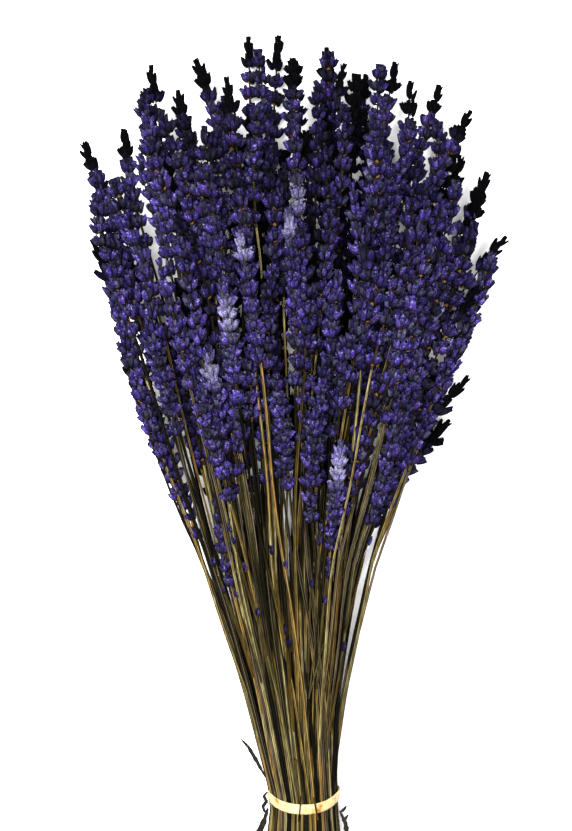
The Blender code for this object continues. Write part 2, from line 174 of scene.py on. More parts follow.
class Bunch:
    """The course of every stalk, as arrays with one entry for each stalk. The two stalks of a twin share a sprig."""

    FIELDS = (
        "sprig", "tip_x", "tip_y", "tip_z", "lean", "length", "base_y", "radius", "turn",
        "band_x", "band_z", "aim_x", "aim_z",
    )

    def __init__(self, stalks, draw):
        table = np.array(stalks, float)
        self.sprig = table[:, 0].astype(int)
        self.tip_x, self.tip_y, self.tip_z, lean, self.length = table[:, 1:6].T
        self.lean = lean * np.sign(self.tip_x)
        self.base_y = self.tip_y - self.length
        self.count = len(table)
        self.radius = np.array([SPIKE_RADIUS * draw.uniform(*THICKNESS) for _ in table])
        self.turn = np.array([draw.uniform(0, math.tau) for _ in table])
        self.place_under_band()
        over = self.band_z - BUNDLE_MIDDLE
        self.aim_x = (self.tip_x - self.lean - self.band_x * pinch(self.tip_y)) / opening(self.tip_y)
        self.aim_z = (self.tip_z - BUNDLE_MIDDLE - over * pinch(self.tip_y)) / opening(self.tip_y)

    def place_under_band(self):
        """Stalks from the outside of the head go to the bundle's outer ring, in the same order round it."""
        across, up = self.place_in_head()
        inwards = np.argsort(-np.hypot(across, up), kind="stable")
        angle = np.arctan2(up, across)
        self.band_x, self.band_z = np.zeros(self.count), np.zeros(self.count)
        first = 0
        for size, radius in STEM_RINGS:
            ring = inwards[first : first + size]
            first += size
            ring = ring[np.argsort(angle[ring], kind="stable")]
            places = math.tau * (np.arange(len(ring)) + 0.5) / len(ring) - math.pi
            self.band_x[ring] = radius * np.cos(places)
            self.band_z[ring] = BUNDLE_MIDDLE + radius * np.sin(places)

    def place_in_head(self):
        """How far across and up each tip is in the head's section there, from -1 to 1."""
        sections = np.array([head_section(along) for along in self.tip_y])
        return self.tip_x / sections[:, 0], 2 * (self.tip_z - LOWEST_SPIKE) / sections[:, 1] - 1

    def courses(self, along):
        """The x and z of each stalk at each distance along."""
        sway = SWAY * opening(BENDS) * np.sin(4 * BENDS / WIDEST_AT + self.turn[:, None])
        x = self.band_x[:, None] * pinch(BENDS) + self.aim_x[:, None] * opening(BENDS) + sway - LEFTWARDS
        over = (self.band_z - BUNDLE_MIDDLE)[:, None] * pinch(BENDS) + self.aim_z[:, None] * opening(BENDS)
        z = np.maximum(BUNDLE_MIDDLE + over, STEM_RADIUS + TABLE_GAP)
        between = np.array([np.interp(along, BENDS, only) for only in np.eye(len(BENDS))])
        share = np.clip((along - self.base_y[:, None]) / self.length[:, None], 0, None)
        return x @ between + self.lean[:, None] * share**2, z @ between

    def untangle(self, rounds, fixed=0):
        """Shifts the aims, apart from those of the first stalks where fixed, until no spike meets another's stalk."""
        along = np.arange(30 * MM, FURTHEST_TIP + STATION_STEP, STATION_STEP)
        grow = opening(along)
        bare = along < self.base_y[:, None] - SPIKE_MARGIN
        ended = along > self.tip_y[:, None] + SPIKE_MARGIN
        same = np.eye(self.count, dtype=bool)
        twins = (self.sprig[:, None] == self.sprig[None, :]) & ~same
        idle = ended[:, None, :] | ended[None, :, :] | (bare[:, None, :] & bare[None, :, :]) | same[:, :, None]
        idle |= twins[:, :, None] & (bare[:, None, :] | bare[None, :, :])
        sinking = np.where(self.tip_z < UNDERSIDE, SINKING, 0)
        stalk, other = np.indices((self.count, self.count))
        moves = np.arange(self.count) >= fixed
        for _ in range(rounds):
            x, z = self.courses(along)
            slant = np.sqrt(1 + np.gradient(x, along, axis=1) ** 2)
            width = np.where(bare, STEM_RADIUS, self.radius[:, None] * slant)
            both = width[:, None, :] + width[None, :, :]
            wanted = np.where(twins[:, :, None], both * TWIN_DISTANCE, both + CLEARANCE)
            if fixed:
                wanted = both * INNER_SQUEEZE
            apart_x = x[:, None, :] - x[None, :, :]
            apart_z = z[:, None, :] - z[None, :, :]
            apart = np.hypot(apart_x, apart_z) + 1e-9
            missing = np.where(idle, IDLE, wanted - apart)
            at = (stalk, other, missing.argmax(axis=2))
            push = np.where(missing[at] > 0, missing[at], 0)
            push = np.where(twins & (missing[at] > IDLE / 2), TWIN_PULL * missing[at], push)
            push *= PUSH / np.maximum(grow[at[2]], LEAST_OPENING) / apart[at]
            step_x = np.clip((push * apart_x[at]).sum(axis=1), -LONGEST_STEP, LONGEST_STEP)
            step_z = np.clip((push * apart_z[at]).sum(axis=1), -LONGEST_STEP, LONGEST_STEP) - sinking
            self.aim_x += np.where(moves, step_x, 0)
            self.aim_z += np.where(moves, step_z, 0)
            self.lift_off_table(along, bare | ended)

    def lift_off_table(self, along, outside):
        """Raises the spikes that are under the lowest height."""
        _, z = self.courses(along)
        low = np.where(outside, IDLE, LOWEST_SPIKE - z)
        self.aim_z += np.clip((low / opening(along)).max(axis=1), 0, None)

    def press_in(self, fixed):
        """Brings the stalks past the first inside the fan's edges, and down to the height of the part's spikes."""
        along = np.arange(PRESSED_FROM, FURTHEST_TIP, STATION_STEP)
        places, left, right = np.array(FAN_EDGES).T * MM
        x, z = self.courses(along)
        ended = along > self.tip_y[:, None]
        reach = np.where(along < self.base_y[:, None], STEM_RADIUS, WHORL_REACH)
        over = np.where(ended, 0, x + reach - np.interp(along, places, right)) / opening(along)
        under = np.where(ended, 0, np.interp(along, places, left) - x + reach) / opening(along)
        high = np.where(ended, 0, z + reach - cad_box[1][2]) / opening(along)
        self.aim_x[fixed:] -= np.clip(over.max(axis=1), 0, None)[fixed:]
        self.aim_x[fixed:] += np.clip(under.max(axis=1), 0, None)[fixed:]
        self.aim_z[fixed:] -= np.clip(high.max(axis=1), 0, None)[fixed:]

    def depth(self, along):
        """How deep inside the bunch each stalk is at each distance along: 0 on its outside, 1 in its middle."""
        x, z = self.courses(along)
        there = (self.tip_y[:, None] > along).astype(float)

        def share_out(values):
            """How far the values are from their mean, against twice the usual distance from it."""
            count = np.maximum(there.sum(axis=0), 1)
            away = values - (values * there).sum(axis=0) / count
            return away / np.maximum(2 * (np.abs(away) * there).sum(axis=0) / count, MM)

        return np.clip(1 - np.hypot(share_out(x), share_out(z)), 0, 1)

    def take_in(self, other):
        """Adds another bunch's stalks between these, which stay where they are. Its exact ones keep their aims."""
        fixed = self.count
        for name in self.FIELDS:
            setattr(self, name, np.concatenate((getattr(self, name), getattr(other, name))))
        self.count += other.count
        exact = slice(self.count - len(EXACT_TIPS), None)
        aims = self.aim_x[exact].copy(), self.aim_z[exact].copy()
        self.untangle(INNER_ROUNDS, fixed)
        self.aim_x[exact], self.aim_z[exact] = aims
        self.press_in(fixed)

    def course(self, stalk, start, end, count=80):
        """The stalk's points from start to end along the bunch, and how far along the stalk each one is."""
        along = np.linspace(start, end, count)
        x, z = self.courses(along)
        stray = WANDER * np.clip(opening(along) * 3, 0, 1)
        phase = self.turn[stalk]
        points = np.column_stack((
            x[stalk] + stray * np.sin(along / WANDER_LENGTHS[0] + 5 * phase),
            along,
            z[stalk] + stray * np.sin(along / WANDER_LENGTHS[1] + 8 * phase),
        ))
        return measured(points)

    def top(self, x, along):
        """The height of the uppermost stalk near this place, seen from above."""
        all_x, all_z = self.courses(np.array([along]))
        near = (np.abs(all_x[:, 0] - x) < NEARBY) & (self.tip_y > along)
        return all_z[near, 0].max() + STEM_RADIUS if near.any() else None


class InnerStalks(Bunch):
    """Stalks that fill the bundle between the rings of the part's stems."""

    def place_under_band(self):
        across, up = self.place_in_head()
        share = np.clip(np.hypot(across, up), 0.05, 1)
        angle = np.arctan2(up, across)
        radius = INNER_RADIUS * np.sqrt(share)
        self.band_x = radius * np.cos(angle)
        self.band_z = BUNDLE_MIDDLE + radius * np.sin(angle)


def measured(points):
    """The points, and how far along the line through them each one is."""
    steps = np.linalg.norm(np.diff(points, axis=0), axis=1)
    return points, np.concatenate(([0], np.cumsum(steps)))


def spread(step, ratio):
    """The step's number in a sequence between 0 and 1 that fills the range evenly."""
    return (0.5 + step * ratio) % 1


def lay_out_bunch():
    """Every stalk's place: single spikes round the edge of the fan, and twin spikes inside it."""
    draw = random.Random(7)
    stalks = []
    for across, along, lean, level in SINGLE_TIPS:
        x, y = across * MM, along * MM
        stalks.append((len(stalks), x, y, level_height(x, y, level), lean * MM, draw.uniform(*SPIKE_LENGTH)))
    for number in range(TWIN_SPRIGS):
        sprig = len(SINGLE_TIPS) + number
        on_top = number < TOP_SPRIGS
        y = TWIN_TIPS[0] + TWIN_TIPS[1] * spread(number, ALONG_RATIO)
        x = head_section(y)[0] * (2 * spread(number, ACROSS_RATIO) - 1) * TWIN_WIDTHS[on_top]
        x += TWIN_SHIFT
        z = level_height(x, y, 1 if on_top else 0.5 * (number % 2))
        lean = draw.uniform(*TWIN_LEAN)
        stalks.append((sprig, x, y, z, lean, draw.uniform(*SPIKE_LENGTH)))
        side = draw.uniform(0, math.tau)
        beside = (x + SPIKE_RADIUS * math.cos(side), z + SPIKE_RADIUS * math.sin(side))
        behind = y - draw.uniform(*TWIN_STEP)
        stalks.append((sprig, beside[0], behind, beside[1], lean, draw.uniform(*SPIKE_LENGTH)))
    bunch = Bunch(stalks, draw)
    bunch.untangle(ROUNDS)
    return bunch


def lay_out_inner_stalks():
    """The stalks that fill the fan, and then those that end at its edge."""
    draw = random.Random(19)
    stalks = []
    first, length, power = INNER_TIPS
    for number in range(INNER_STALKS):
        y = first + length * spread(number, ALONG_RATIO) ** power
        level = INNER_LEVELS[number % len(INNER_LEVELS)]
        x = head_section(y)[0] * (2 * spread(number, ACROSS_RATIO) - 1) * INNER_WIDTHS[y > SHOULDERS] + TWIN_SHIFT
        lean = draw.uniform(*INNER_LEAN)
        stalks.append((FIRST_INNER + number, x, y, level_height(x, y, level), lean, draw.uniform(*SPIKE_LENGTH)))
    for number, (across, along, lean, level) in enumerate(EXACT_TIPS, INNER_STALKS):
        x, y = across * MM, along * MM
        stalks.append((FIRST_INNER + number, x, y, level_height(x, y, level), lean * MM, draw.uniform(*SPIKE_LENGTH)))
    return InnerStalks(stalks, draw)


# Looks


def srgb(code):
    """A hex colour as linear red, green and blue, and alpha."""
    channels = [int(code[at : at + 2], 16) / 255 for at in (0, 2, 4)]
    return (*(c / 12.92 if c <= 0.04045 else ((c + 0.055) / 1.055) ** 2.4 for c in channels), 1)


def node(material, kind, output, inputs=None, stops=(), **settings):
    """Adds a node with its settings, its values or links and, on a ramp, its (place, hex colour) stops, and gives
    one of its outputs."""
    made = material.node_tree.nodes.new(kind)
    for name, value in settings.items():
        setattr(made, name, value)
    for name, value in (inputs or {}).items():
        if isinstance(value, bpy.types.NodeSocket):
            material.node_tree.links.new(value, made.inputs[name])
        else:
            made.inputs[name].default_value = value
    for number, (place, colour) in enumerate(stops):
        elements = made.color_ramp.elements
        stop = elements[number] if number < 2 else elements.new(place)
        stop.position = place
        stop.color = srgb(colour)
    return made.outputs[output]


def new_material(name, roughness, specular):
    material = bpy.data.materials.new(name)
    material.use_nodes = True
    shader = material.node_tree.nodes["Principled BSDF"]
    shader.inputs["Roughness"].default_value = roughness
    shader.inputs["Specular IOR Level"].default_value = specular
    return material


def finish_with(material, colour, bump=None):
    shader = material.node_tree.nodes["Principled BSDF"]
    material.node_tree.links.new(colour, shader.inputs["Base Color"])
    if bump is not None:
        material.node_tree.links.new(bump, shader.inputs["Normal"])
    return material


SHADE_BLACK = "020203"  # painted shade for buds and bracts: nearly black at tips seen against the light, and in the shade of the others


def calyx_material():
    """Dried lavender calyx: a ribbed tube with short pale down. Drying keeps its violet, and leaves its foot brown
    and its mouth, with the shrivelled flower in it, nearly black. Its surface is dull, with specks of brown dust. The
    down is finer than the render can show, so it is drawn as tufts 0.8 mm apart. Just above the foot the colour is
    painted near-black as shade where the buds crowd together, and the grooves between the ribs are painted darker as
    shade. The darkest, greyest buds are painted shade, pale patches are painted highlights, and the dark attribute
    paints shade up to nearly black."""
    look = new_material("dried downy calyx", 0.95, 0.02)
    reach, tint, rib, dark, pale = (
        node(look, "ShaderNodeAttribute", "Fac", attribute_name=name)
        for name in ("reach", "tint", "rib", "dark", "pale")
    )
    place = node(look, "ShaderNodeTexCoord", "Object")
    hairs = node(look, "ShaderNodeTexNoise", "Fac", {"Vector": place, "Scale": 1 / (0.8 * MM)})
    dust = node(look, "ShaderNodeTexNoise", "Fac", {"Vector": place, "Scale": 1 / (1.7 * MM), "Detail": 1.0})
    # painted shade: the near-black at 0.12, just above the brown foot, darkens where the buds crowd together; the
    # black at 1 is the hollow with the shrivelled flower
    fresh = node(look, "ShaderNodeValToRGB", "Color", {"Fac": reach}, (
        (0.0, "3E3016"), (1.0, "050407"), (0.12, "100C10"), (0.32, "1C1540"), (0.6, "2A2060"), (0.93, "342C68"),
    ))
    downy = node(look, "ShaderNodeValToRGB", "Color", {"Fac": reach}, (
        (0.0, "4A3E28"), (1.0, "0C0912"), (0.3, "4E4A62"), (0.93, "928F9C"),
    ))
    hairy = node(look, "ShaderNodeMapRange", "Result", {"Value": hairs, 1: 0.52, 2: 0.72, 3: 0.0, 4: 0.75})
    lit = node(look, "ShaderNodeMix", 2, {0: hairy, 6: fresh, 7: downy}, data_type="RGBA")
    # painted shade: the grooves between the ribs are darkened
    groove = node(look, "ShaderNodeMapRange", "Result", {"Value": rib, 1: 0.25, 2: 0.6, 3: 0.6, 4: 0.0})
    ribbed = node(look, "ShaderNodeMix", 2, {0: groove, 6: lit, 7: srgb("0B0914")}, data_type="RGBA")
    dusty = node(look, "ShaderNodeMapRange", "Result", {"Value": dust, 1: 0.42, 2: 0.34, 3: 0.0, 4: 0.8})
    dulled = node(look, "ShaderNodeMix", 2, {0: dusty, 6: ribbed, 7: srgb("211A12")}, data_type="RGBA")
    # tone varies at random from bud to bud, and the darkest, greyest buds are painted shade
    toned_and_shaded = node(look, "ShaderNodeHueSaturation", "Color", {
        "Hue": node(look, "ShaderNodeMapRange", "Result", {"Value": tint, 3: 0.490, 4: 0.508}),
        "Saturation": node(look, "ShaderNodeMapRange", "Result", {"Value": tint, 1: 0.0, 2: 0.35, 3: 0.6, 4: 1.05}),
        "Value": node(look, "ShaderNodeMapRange", "Result", {"Value": tint, 3: 0.30, 4: 1.25}),
        "Color": dulled,
    })
    # painted highlight: pale lilac where the pale attribute is set, broken up by the tufts
    bare = node(look, "ShaderNodeMapRange", "Result", {"Value": hairs, 1: 0.35, 2: 0.65, 3: 0.2, 4: 1.0})
    highlight_mask = node(look, "ShaderNodeMath", "Value", {0: pale, 1: bare}, operation="MULTIPLY")
    highlighted = node(look, "ShaderNodeMix", 2, {0: highlight_mask, 6: toned_and_shaded, 7: srgb("A19DC0")}, data_type="RGBA")
    # painted shade: the dark attribute turns the buds nearly black
    shade_darkened = node(look, "ShaderNodeMix", 2, {0: dark, 6: highlighted, 7: srgb(SHADE_BLACK)}, data_type="RGBA")
    bump = node(look, "ShaderNodeBump", "Normal", {"Height": rib, "Distance": 0.3 * MM, "Strength": 0.8})
    return finish_with(look, shade_darkened, bump)


def bract_material():
    """The papery bracts under the buds: thin and brown, like tissue."""
    look = new_material("papery dried bract", 0.8, 0.05)
    tint, dark = (node(look, "ShaderNodeAttribute", "Fac", attribute_name=name) for name in ("tint", "dark"))
    brown = node(look, "ShaderNodeValToRGB", "Color", {"Fac": tint}, (
        (0.0, "0E0905"), (1.0, "8A6436"), (0.5, "1E140A"), (0.82, "5E4020"),
    ))
    shaded = node(look, "ShaderNodeMix", 2, {0: dark, 6: brown, 7: srgb(SHADE_BLACK)}, data_type="RGBA")
    return finish_with(look, shaded)


def stem_material():
    """Dried lavender stem: square and grooved straw, from golden to olive and dark brown, streaked along its length.
    Its corners are painted paler as highlights, its grooves darker as shade, and the stems deep in the bundle nearly
    black as shade."""
    look = new_material("dry lavender straw", 0.8, 0.03)
    tint, dark, corner = (
        node(look, "ShaderNodeAttribute", "Fac", attribute_name=name) for name in ("tint", "dark", "corner")
    )
    place = node(look, "ShaderNodeTexCoord", "Object")
    along = node(look, "ShaderNodeMapping", "Vector", {"Vector": place, "Scale": (1, 0.05, 1)})
    streak = node(look, "ShaderNodeTexNoise", "Fac", {"Vector": along, "Scale": 1 / (1.1 * MM)})
    longer = node(look, "ShaderNodeMapping", "Vector", {"Vector": place, "Scale": (1, 0.25, 1)})
    patch = node(look, "ShaderNodeTexNoise", "Fac", {"Vector": longer, "Scale": 1 / (7 * MM)})
    age = node(look, "ShaderNodeMix", 0, {0: 0.25, 2: tint, 3: patch}, data_type="FLOAT")
    straw = node(look, "ShaderNodeValToRGB", "Color", {"Fac": age}, (
        (0.22, "040302"), (0.88, "7C5421"), (0.29, "1A1308"), (0.36, "4E4034"), (0.44, "4C431D"), (0.54, "72591B"),
        (0.64, "5E5631"), (0.74, "877C52"), (0.80, "6A5829"),
    ))
    lined = node(look, "ShaderNodeMapRange", "Result", {"Value": streak, 1: 0.42, 2: 0.6, 3: 0.6, 4: 0.0})
    streaked = node(look, "ShaderNodeMix", 2, {0: lined, 6: straw, 7: srgb("1A1308")}, data_type="RGBA")
    # painted highlight: the corners are made paler
    edge = node(look, "ShaderNodeMapRange", "Result", {"Value": corner, 1: 0.6, 2: 1.0, 3: 0.0, 4: 0.45})
    corner_highlighted = node(look, "ShaderNodeMix", 2, {0: edge, 6: streaked, 7: srgb("7E765A")}, data_type="RGBA")
    # painted shade: the grooves between the corners are darkened
    hollow = node(look, "ShaderNodeMapRange", "Result", {"Value": corner, 1: 0.1, 2: 0.5, 3: 0.75, 4: 0.0})
    grooved = node(look, "ShaderNodeMix", 2, {0: hollow, 6: corner_highlighted, 7: srgb("0C0804")}, data_type="RGBA")
    shaded = node(look, "ShaderNodeMix", 2, {0: dark, 6: grooved, 7: srgb("020201")}, data_type="RGBA")
    bump = node(look, "ShaderNodeBump", "Normal", {"Height": streak, "Distance": 0.3 * MM, "Strength": 0.7})
    return finish_with(look, shaded, bump)


def pith_material():
    """The cut end of a stem: pale dry pith, open grained."""
    look = new_material("dry pith", 0.9, 0.2)
    place = node(look, "ShaderNodeTexCoord", "Object")
    grain = node(look, "ShaderNodeTexNoise", "Fac", {"Vector": place, "Scale": 1 / (0.4 * MM)})
    straw = node(look, "ShaderNodeValToRGB", "Color", {"Fac": grain}, ((0.3, "8D7A50"), (0.7, "D8C69A")))
    return finish_with(look, straw)


def band_material():
    """A natural rubber band, cut from a calendered tube: pale amber, a little waxy, with fine lines along it and
    brown dust rubbed into it by the stems."""
    look = new_material("natural rubber", 0.5, 0.25)
    place = node(look, "ShaderNodeTexCoord", "Object")
    cloud = node(look, "ShaderNodeTexNoise", "Fac", {"Vector": place, "Scale": 1 / (5 * MM)})
    round_it = node(look, "ShaderNodeMapping", "Vector", {"Vector": place, "Scale": (0.05, 1, 0.05)})
    lines = node(look, "ShaderNodeTexNoise", "Fac", {"Vector": round_it, "Scale": 1 / (0.5 * MM), "Detail": 1.0})
    amber = node(look, "ShaderNodeValToRGB", "Color", {"Fac": cloud}, (
        (0.30, "7C4D1D"), (0.62, "AFA078"), (0.37, "9A804E"), (0.44, "A8966A"),
    ))
    fine = node(look, "ShaderNodeMapRange", "Result", {"Value": lines, 1: 0.35, 2: 0.55, 3: 0.35, 4: 0.0})
    lined = node(look, "ShaderNodeMix", 2, {0: fine, 6: amber, 7: srgb("9A7B41")}, data_type="RGBA")
    bump = node(look, "ShaderNodeBump", "Normal", {"Height": lines, "Distance": 0.1 * MM, "Strength": 0.5})
    return finish_with(look, lined, bump)


def leaf_material():
    """A dead leaf, curled as it dried: dark brown, veined and brittle, with a dull surface."""
    look = new_material("shrivelled leaf", 0.85, 0.15)
    place = node(look, "ShaderNodeTexCoord", "Object")
    wrinkle = node(look, "ShaderNodeTexNoise", "Fac", {"Vector": place, "Scale": 1 / MM, "Detail": 3.0})
    brown = node(look, "ShaderNodeValToRGB", "Color", {"Fac": wrinkle}, (
        (0.3, "080705"), (0.8, "3A2F1B"), (0.6, "15110A"),
    ))
    bump = node(look, "ShaderNodeBump", "Normal", {"Height": wrinkle, "Distance": 0.3 * MM})
    return finish_with(look, brown, bump)


def table_material():
    """A pale matt laminate, without pattern."""
    look = new_material("matt white laminate", 0.9, 0.1)
    place = node(look, "ShaderNodeTexCoord", "Object")
    haze = node(look, "ShaderNodeTexNoise", "Fac", {"Vector": place, "Scale": 1 / (60 * MM)})
    white = node(look, "ShaderNodeValToRGB", "Color", {"Fac": haze}, ((0.2, "F3F3F3"), (0.8, "F7F7F7")))
    return finish_with(look, white)


CALYX, BRACT, STEM, PITH = calyx_material(), bract_material(), stem_material(), pith_material()
RUBBER, LEAF, TABLE = band_material(), leaf_material(), table_material()


# Working with meshes


def activate(*objects):
    bpy.ops.object.select_all(action="DESELECT")
    for obj in objects:
        obj.select_set(True)
    bpy.context.view_layer.objects.active = objects[0]


def places_of(mesh):
    points = np.empty(len(mesh.vertices) * 3)
    mesh.vertices.foreach_get("co", points)
    return points.reshape(-1, 3)


def move_to(mesh, points):
    mesh.vertices.foreach_set("co", np.asarray(points, float).ravel())
    mesh.update()


def mark(mesh, name, values):
    """Keeps a number at each point, for a material to read."""
    layer = mesh.attributes.get(name) or mesh.attributes.new(name, "FLOAT", "POINT")
    layer.data.foreach_set("value", np.broadcast_to(np.asarray(values, np.float32), (len(mesh.vertices),)).copy())


def marks_of(mesh, name):
    values = np.empty(len(mesh.vertices), np.float32)
    mesh.attributes[name].data.foreach_get("value", values)
    return values


def copy_of(obj, matrix):
    """Another of the same, with its own mesh, put in its place."""
    made = obj.copy()
    made.data = obj.data.copy()
    made.data.transform(matrix)
    bpy.context.scene.collection.objects.link(made)
    return made


def joined(name, objects):
    """Makes the objects one, under this name."""
    activate(*objects)
    if len(objects) > 1:
        bpy.ops.object.join()
    made = bpy.context.object
    made.name = made.data.name = name
    return made


def placed(x, y, z):
    return Matrix.Translation((x, y, z))


def turned(degrees, axis):
    return Matrix.Rotation(math.radians(degrees), 4, axis)


def extruded(name, sides, profile):
    """A closed shape up the Z axis: a circle extruded through rings of (radius, height) in millimetres. A last ring
    of no radius is a point, which may lie lower than the ring before it, in a hollow."""
    bpy.ops.object.select_all(action="DESELECT")
    radius, height = profile[0]
    bpy.ops.mesh.primitive_circle_add(
        vertices=sides, radius=radius * MM, fill_type="NGON", location=(0, 0, height * MM)
    )
    made = bpy.context.object
    made.name = name
    bpy.ops.object.transform_apply(location=True)
    bpy.ops.object.mode_set(mode="EDIT")
    bpy.ops.mesh.select_mode(type="FACE")
    for next_radius, next_height in profile[1:]:
        rise = {"value": (0, 0, (next_height - height) * MM)}
        bpy.ops.mesh.extrude_region_move(TRANSFORM_OT_translate=rise)
        if next_radius == 0:
            bpy.ops.mesh.merge(type="CENTER")
            break
        grow = next_radius / radius
        bpy.ops.transform.resize(value=(grow, grow, 1), center_override=(0, 0, next_height * MM))
        radius, height = next_radius, next_height
    bpy.ops.mesh.select_all(action="SELECT")
    bpy.ops.mesh.normals_make_consistent(inside=False)
    bpy.ops.object.mode_set(mode="OBJECT")
    return made


def along_course(course, offsets):
    """Puts points given as (across, up, distance) on a course that bends."""
    points, lengths = course
    forward = np.gradient(points, axis=0)
    forward /= np.linalg.norm(forward, axis=1)[:, None]
    side = np.cross(forward, (0, 0, 1))
    side /= np.linalg.norm(side, axis=1)[:, None]
    up = np.cross(side, forward)

    def at(values):
        return np.column_stack([np.interp(offsets[:, 2], lengths, values[:, axis]) for axis in range(3)])

    return at(points) + offsets[:, :1] * at(side) + offsets[:, 1:2] * at(up)


# Buds, whorls and spikes, each modelled once

CALYX_SIDES = 6
CALYX_PROFILES = (  # rings of (radius, height) in millimetres, from the foot to the mouth and the hollow in it
    ((0.50, 0), (1.05, 0.9), (1.25, 2.6), (0.88, 4.9), (0, 4.2)),
    ((0.45, 0), (1.00, 0.8), (1.20, 2.9), (0.95, 4.5), (0, 3.9)),
    ((0.45, 0), (1.05, 1.1), (1.10, 2.7), (0.60, 4.8), (0, 5.5)),
    ((0.50, 0), (1.15, 0.9), (1.30, 2.3), (0.98, 4.1), (0, 3.5)),
)
PLAIN_PROFILE = ((0.55, 0), (1.28, 1.9), (0.88, 4.7), (0, 4.1))  # for the buds inside the bunch
SAME_PLACE = 0.05 * MM
MOUTH_REACH = 0.93  # the attribute reach runs from 0 at a bud's foot to this at its mouth, and to 1 in the hollow
TEETH = (-0.5, 0.4)  # how far the corners of the mouth stand down or up, in millimetres
BRACT_LENGTH = 1.8 * MM  # half of it
BRACT_BEND, BRACT_CUP = 70, 120  # the curves along and across it, as rise over the distance squared, per metre
CALYX_SWING = (-12, 12)  # degrees out of an even spacing
CALYX_LIFT = (-0.8, 1.4)  # millimetres up or down the rachis
CALYX_SCALE = (1.0, 1.4)
INSIDE_TILT, INSIDE_LIFT = (4, 18), (1.2, 3.0)  # for the calyces inside a whorl
BRACT_TILT, BRACT_SCALE = (15, 50), (0.5, 0.9)
SPIKE_MODEL_LENGTH = 66 * MM
SPIKE_LEAD = 4 * MM  # of the rachis under the lowest whorl
DARK_TOP_FROM = 0.66  # the share of a spike's height past which its top is painted dark
DARK_TOP_OVER = 0.15  # and the share over which it does
EDGE_TIP_SHADE, INNER_TOP_DARK = 0.98, 0.3  # how dark the tops are painted: at the fan's edge as shade against the light, and inside the head
DEPTH_SHADE = 1.3  # how much darker the buds in the middle of the bunch are
SHADE_LENGTH = 150 * MM  # that shade fades out over this length, to the ends of the longest stalks
LEAST_SHADE = 0.15  # and to this share
LOW_SHADE, MOST_LOW_SHADE = 0.3, 0.75  # the shade of an inner spike at the middle level, and of the lowest
HIGHLIGHT_PLACES = (  # where buds are painted pale as highlights, across and along in millimetres, and how far this spreads
    (1, 316, 6), (-6, 303, 5), (-43, 260, 7), (-50, 232, 6), (14, 184, 8), (30, 332, 4), (64, 262, 5),
    (-28, 293, 5),
)
HIGHLIGHT_MOST = 0.42
SPIKES_A_PIECE = 30  # of the inner spikes
HEIGHT_COUNTS = 0.4  # of a spike's height, when the one nearest to a highlight place is looked for
LOWEST_GAPS, USUAL_GAPS, TOP_GAPS = (1.0, 1.1, 1.5), (0.86, 1.14), (0.85, 0.62)  # between whorls, against the usual
TOP_WHORL = 4.8 * MM  # from the foot of the top whorl to the spike's tip
WHORL_TAPER = ((0, 0.15, 0.65, 0.88, 1), (0.86, 1.0, 1.0, 0.92, 0.58))  # width against height up the spike


def model_calyx(name, profile, draw):
    """A bud's calyx: a ribbed tube, narrow at its foot, with a toothed mouth."""
    calyx = extruded(name, CALYX_SIDES, profile)
    points = places_of(calyx.data)
    rim = profile[-2][1] * MM
    at_rim = np.abs(points[:, 2] - rim) < SAME_PLACE
    reach = MOUTH_REACH * points[:, 2] / rim
    reach[np.hypot(points[:, 0], points[:, 1]) < SAME_PLACE] = 1
    corner = np.round(np.arctan2(points[:, 1], points[:, 0]) / (math.tau / CALYX_SIDES))
    mark(calyx.data, "reach", np.clip(reach, 0, 1))
    mark(calyx.data, "rib", corner % 2)
    points[at_rim, 2] += np.array([draw.uniform(*TEETH) for _ in range(at_rim.sum())]) * MM
    move_to(calyx.data, points)
    calyx.data.materials.append(CALYX)
    calyx.data.shade_smooth()
    return calyx


def model_bract():
    """A pointed papery bract that bends outwards from under a whorl."""
    bpy.ops.object.select_all(action="DESELECT")
    bpy.ops.mesh.primitive_circle_add(vertices=6, radius=BRACT_LENGTH, fill_type="TRIFAN")
    bract = bpy.context.object
    points = places_of(bract.data)
    points[:, 0] *= 0.7
    points[:, 1] += BRACT_LENGTH
    points[:, 2] = BRACT_BEND * points[:, 1] ** 2 + BRACT_CUP * points[:, 0] ** 2
    move_to(bract.data, points)
    paper = bract.modifiers.new("Paper", "SOLIDIFY")
    paper.thickness = 0.15 * MM
    activate(bract)
    bpy.ops.object.modifier_apply(modifier="Paper")
    bract.data.materials.append(BRACT)
    return bract


def model_whorl(name, draw, calyces, bract, outer, inner, lean=(14, 46), foot=1.6):
    """A ring of calyces whose feet stand so many millimetres out and which lean by so many degrees, steeper ones
    inside it, and two bracts under it."""
    pieces = []
    start = draw.uniform(0, 360)
    for number in range(outer + inner):
        inside = number >= outer
        share = (number - outer) / inner if inside else number / outer
        angle = start + 360 * share + draw.uniform(*CALYX_SWING)
        tilt = draw.uniform(*(INSIDE_TILT if inside else lean))
        lift = draw.uniform(*(INSIDE_LIFT if inside else CALYX_LIFT))
        out = foot / 2 if inside else foot
        matrix = (
            turned(angle, "Z") @ placed(out * MM, 0, lift * MM) @ turned(tilt, "Y")
            @ turned(draw.uniform(0, 360), "Z") @ Matrix.Scale(draw.uniform(*CALYX_SCALE), 4)
        )
        piece = copy_of(draw.choice(calyces), matrix)
        mark(piece.data, "tint", draw.uniform(0, 1))
        pieces.append(piece)
    for side in range(2):
        matrix = (
            placed(0, 0, -0.2 * MM) @ turned(start + 180 * side + draw.uniform(0, 60), "Z")
            @ turned(draw.uniform(*BRACT_TILT), "X") @ Matrix.Scale(draw.uniform(*BRACT_SCALE), 4)
        )
        piece = copy_of(bract, matrix)
        mark(piece.data, "tint", draw.uniform(0, 1))
        pieces.append(piece)
    return joined(name, pieces)


